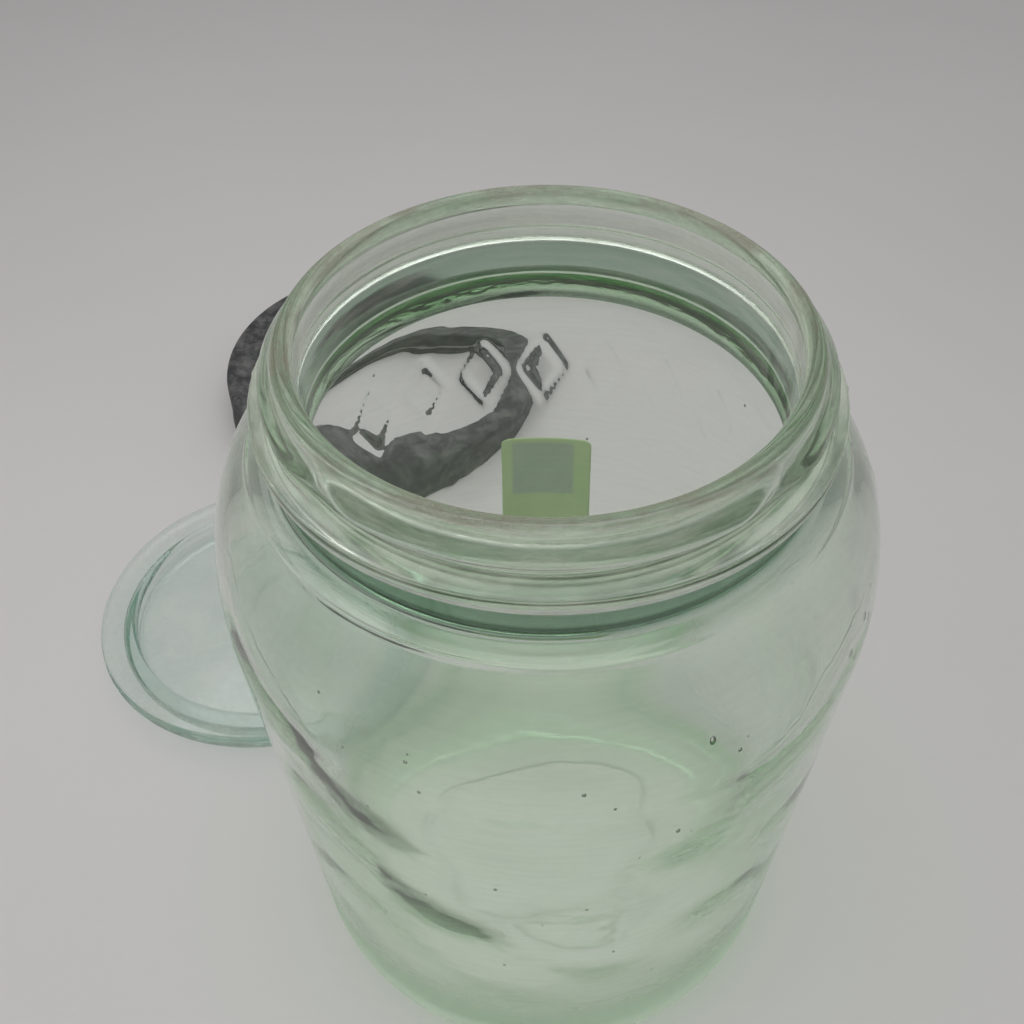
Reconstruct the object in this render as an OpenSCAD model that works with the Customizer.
// Lidded glass canister: a wide-mouth jar with a short threaded neck, standing open.
// Its loose glass lid and its dark screw ring lie on the table beside it.
// The origin is the middle of the jar's foot, on the table. +Z is up and +Y is the far side.

/* [Jar body] */
// Height of the jar, table to lip
jar_h = 195; // [170:1:240]
// Outside radius where the shoulder starts, the widest place
body_r = 75.5; // [71:0.5:95]
// Outside radius just above the curved heel
foot_r = 66; // [58:0.5:80]
// Height of the curved shoulder
shoulder_h = 34; // [26:1:42]
// Height of the curved heel
heel_h = 12; // [8:1:16]
// How far the heel curves in to the ring it stands on
heel_in = 7; // [4:0.5:10]
// Glass thickness of the body
wall_t = 4; // [3:0.25:5]
// Height of the inside floor above the table
floor_h = 8; // [6:0.5:10]
// How far the underside is pushed up inside the foot ring
push_up = 2.5; // [1:0.25:4]
// Width of the ring that the jar stands on
foot_w = 5; // [3:0.5:8]

/* [Neck] */
// Radius of the mouth's bore
mouth_r = 51.5; // [42:0.5:54]
// Thickness of the neck's wall
lip_w = 4.5; // [3.5:0.25:6]
// Height of the neck, shoulder to lip
neck_h = 26; // [24:0.5:34]
// Depth of the bead's lower edge under the lip
bead_drop = 15.8; // [15.5:0.1:18]
// How far the bead stands out from the neck
bead_out = 6; // [5:0.25:7]
// Height of the bead's upright face
bead_face = 2.6; // [2:0.1:3]
// How far the neck under the bead stands out
collar_out = 2.4; // [1:0.1:3]
// How far the thread stands out from the neck
thread_out = 3.2; // [2.5:0.1:4]
// Width of the thread at its root
thread_w = 4.6; // [4:0.1:5]
// Depth of the thread's middle under the lip, on the near half of the mould
thread_drop = 5; // [4.5:0.1:5.5]
// How much lower the thread lies on the far half
thread_step = 0.8; // [0:0.1:1]
// Angle that each half of the thread covers
thread_sweep = 150; // [120:5:170]

/* [Glass lid] */
// How far the lid's flange reaches past the neck
lid_over = 2; // [1:0.25:2.25]
// Thickness of the flange
lid_flange_t = 4.5; // [3.5:0.25:6]
// How far the lid's middle drops into the mouth
lid_drop = 6.5; // [5:0.25:9]
// Thickness of the middle panel
lid_panel_t = 4; // [3:0.25:5]
// Thickness of the wall that drops into the mouth
lid_wall_t = 4.5; // [3.5:0.25:6]
// Clearance between the lid's wall and the mouth
lid_gap = 1.5; // [0.75:0.25:2.5]

/* [Screw ring] */
// Wall thickness of the ring
ring_wall = 2; // [2:0.1:4]
// Thickness of its flange
flange_t = 2.2; // [1.6:0.1:3]
// How far the flange's hole stays inside the neck
flange_in = 6; // [3:0.25:7]
// Clearance between the ring's inside and the jar's thread
ring_gap = 1; // [0.5:0.1:1.5]
// Clearance between the ring's own thread and the glass lid that drops through it
ring_pass = 0.3; // [0.2:0.05:0.5]
// Height left between the ring's foot and the bead's face when the ring is on the jar
ring_foot_gap = 1.9; // [1.5:0.1:2.5]
// Size of the rolled edge at the ring's foot
ring_roll = 0.5; // [0.5:0.1:1.2]

/* [Sealing ring] */
// Thickness of the rubber washer
seal_t = 2; // [1.5:0.1:3]
// Clearance between the washer's hole and the mouth
seal_gap = 0.5; // [0.25:0.25:1]

/* [Label] */
// Width of the paper label along the wall
label_w = 27; // [20:1:32]
// Height of the label
label_h = 36; // [24:1:42]
// Thickness of the label
label_t = 0.25; // [0.2:0.05:0.4]
// Height of the label's top edge above the table
label_top = 101; // [90:1:110]

/* [Laid out] */
// Direction from the jar to the lid, from +X towards +Y
lid_az = 138.8; // [125:0.5:160]
// Gap on the table between the jar's foot and the lid
lid_apart = 3.6; // [2:0.2:8]
// Direction from the lid to the screw ring
ring_az = 78; // [60:1:90]
// Gap on the table between the lid and the screw ring
ring_apart = 8; // [2:0.5:10]

/* [Hidden] */
$fn = 180;

// An arc of an ellipse as points, from angle a0 to a1
function arc(cx, cz, rx, rz, a0, a1, n = 12) =
    [for (i = [0:n]) let (a = a0 + (a1 - a0) * i / n) [cx + rx * cos(a), cz + rz * sin(a)]];

// Neck
neck_r = mouth_r + lip_w;
collar_r = neck_r + collar_out;
bead_r = neck_r + bead_out;
crest_r = neck_r + thread_out;
neck_z = jar_h - neck_h;
bead_z = jar_h - bead_drop;
lip_round = 1.8;
bead_round = 0.7;
root_round = 2;
thread_sunk = 0.8;
bead_slope = 2.2;

// Body: the wall is one straight cone that runs into the heel and the shoulder without a kink
shoulder_z = neck_z - shoulder_h;
shoulder_in = body_r - collar_r - root_round;
stand_r = foot_r - heel_in;
wall_slope = (body_r - foot_r) / (shoulder_z - heel_h);
shoulder_a = -atan(wall_slope * shoulder_h / shoulder_in);
heel_a = -atan(wall_slope * heel_h / heel_in);
shoulder_arc = arc(collar_r + root_round, shoulder_z, shoulder_in, shoulder_h, shoulder_a, 90, 20);
heel_arc = arc(stand_r, heel_h, heel_in, heel_h, -90, heel_a);
wall_low = heel_arc[len(heel_arc) - 1];
wall_high = shoulder_arc[0];
function wall_r(z) =
    wall_low[0] + (wall_high[0] - wall_low[0]) * (z - wall_low[1]) / (wall_high[1] - wall_low[1]);

// Inside of the jar
floor_round_w = 24;
floor_round_h = 16;
inner_round_w = 1.3;
inner_round_h = 2;
inner_top_z = neck_z - wall_t;
inner_neck_r = mouth_r + inner_round_w;
inner_shoulder_in = body_r - wall_t - inner_neck_r;
inner_shoulder_h = inner_top_z - shoulder_z;
inner_arc = arc(inner_neck_r, shoulder_z, inner_shoulder_in, inner_shoulder_h, 90, shoulder_a, 20);
bore_low_z = inner_top_z + inner_round_h;
floor_arc_r = wall_r(floor_h + floor_round_h) - wall_t;

// Lid, ring and washer
lid_r = neck_r + lid_over;
plug_r = mouth_r - lid_gap;
dish_r = plug_r - lid_wall_t;
lid_h = lid_drop + lid_flange_t;
lid_round = 1.5;
ring_in_r = crest_r + ring_gap;
ring_r = ring_in_r + ring_wall;
ring_reach = bead_drop - bead_face - ring_foot_gap;
ring_h = flange_t + lid_flange_t + seal_t + ring_reach;
flange_r = neck_r - flange_in;
ring_round = 1.6;
ring_thread_z = 1.9;
ring_thread_w = 2.6;

// Places on the table
lid_away = foot_r + lid_r + lid_apart;
lid_pos = [lid_away * cos(lid_az), lid_away * sin(lid_az), 0];
ring_away = lid_r + ring_r + ring_roll + ring_apart;
ring_pos = lid_pos + [ring_away * cos(ring_az), ring_away * sin(ring_az), 0];

// Outline of the jar's outside, from the middle of the underside up to the lip
jar_outside = concat(
    [[0, push_up], [stand_r - foot_w - 2 * push_up, push_up], [stand_r - foot_w, 0]],
    heel_arc,
    shoulder_arc,
    arc(collar_r + root_round, neck_z + root_round, root_round, root_round, -105, -180, 5),
    [[collar_r, bead_z]],
    arc(bead_r - bead_round, bead_z + bead_round, bead_round, bead_round, -90, 0, 4),
    [[bead_r, bead_z + bead_face], [neck_r, bead_z + bead_face + bead_slope]],
    arc(neck_r - lip_round, jar_h - lip_round, lip_round, lip_round, 0, 90, 6)
);
// Outline of its inside, from the lip down to the middle of the floor
jar_inside = concat(
    arc(mouth_r + lip_round, jar_h - lip_round, lip_round, lip_round, 90, 180, 6),
    arc(inner_neck_r, bore_low_z, inner_round_w, inner_round_h, 180, 260, 6),
    inner_arc,
    arc(floor_arc_r - floor_round_w, floor_h + floor_round_h, floor_round_w, floor_round_h, 0, -90, 12),
    [[0, floor_h]]
);

// One half of the neck's thread: a ridge with sloping flanks, sunk a little into the wall
module thread_half(mid_a, drop) {
    z = jar_h - drop;
    rotate([0, 0, mid_a - thread_sweep / 2])
        rotate_extrude(angle = thread_sweep)
            polygon([
                [neck_r - thread_sunk, z - thread_w / 2 - thread_sunk / 2], [crest_r, z - thread_w / 5],
                [crest_r, z + thread_w / 5], [neck_r - thread_sunk, z + thread_w / 2 + thread_sunk / 2]
            ]);
}

module glass_jar() {
    color([0.66, 0.80, 0.72, 0.5]) {
        rotate_extrude() polygon(concat(jar_outside, jar_inside));
        thread_half(-90, thread_drop);
        thread_half(90, thread_drop + thread_step);
    }
}

// Paper label on the far side, lying on the cone of the wall
module price_label() {
    low_z = label_top - label_h;
    sweep = label_w / wall_r(label_top) * 180 / PI;
    color([0.55, 0.66, 0.45])
        rotate([0, 0, 90 - sweep / 2])
            rotate_extrude(angle = sweep)
                polygon([
                    [wall_r(low_z), low_z], [wall_r(low_z) + label_t, low_z],
                    [wall_r(label_top) + label_t, label_top], [wall_r(label_top), label_top]
                ]);
}

// Dished lid: a flange that sits on the washer and a middle that drops into the mouth
module glass_lid() {
    color([0.72, 0.84, 0.80, 0.5])
        translate(lid_pos)
            rotate_extrude()
                polygon(concat(
                    [[0, 0]],
                    arc(plug_r - lid_round, lid_round, lid_round, lid_round, -90, 0, 5),
                    [[plug_r, lid_drop]],
                    arc(lid_r - lid_round, lid_drop + lid_round, lid_round, lid_round, -90, 0, 5),
                    arc(lid_r - lid_round, lid_h - lid_round, lid_round, lid_round, 0, 90, 5),
                    arc(dish_r + lid_round, lid_h - lid_round, lid_round, lid_round, 90, 180, 5),
                    arc(dish_r - lid_round, lid_panel_t + lid_round, lid_round, lid_round, 0, -90, 5),
                    [[0, lid_panel_t]]
                ));
}

// Inner thread of the ring, one half turn
module ring_thread_half(mid_a) {
    tip_r = lid_r + ring_pass;
    rotate([0, 0, mid_a - thread_sweep / 2])
        rotate_extrude(angle = thread_sweep)
            polygon([
                [ring_in_r + thread_sunk, ring_thread_z - ring_thread_w / 2 - thread_sunk / 2],
                [tip_r, ring_thread_z - ring_thread_w / 5],
                [tip_r, ring_thread_z + ring_thread_w / 5],
                [ring_in_r + thread_sunk, ring_thread_z + ring_thread_w / 2 + thread_sunk / 2]
            ]);
}

// Screw ring, lying as it is put down: open foot on the table, flange on top
module screw_ring() {
    color([0.16, 0.15, 0.16])
        translate(ring_pos) {
            rotate_extrude()
                polygon(concat(
                    [[ring_in_r, 0]],
                    arc(ring_r, ring_roll, ring_roll, ring_roll, -90, 90, 8),
                    arc(ring_r - ring_round, ring_h - ring_round, ring_round, ring_round, 0, 90, 6),
                    [[flange_r, ring_h], [flange_r, ring_h - flange_t], [ring_in_r, ring_h - flange_t]]
                ));
            ring_thread_half(-90);
            ring_thread_half(90);
        }
}

// Flat rubber washer, lying under the ring's flange
module sealing_ring() {
    color([0.22, 0.20, 0.20])
        translate(ring_pos)
            difference() {
                cylinder(r = neck_r, h = seal_t);
                translate([0, 0, -1]) cylinder(r = mouth_r + seal_gap, h = seal_t + 2);
            }
}

glass_jar();
price_label();
glass_lid();
screw_ring();
sealing_ring();
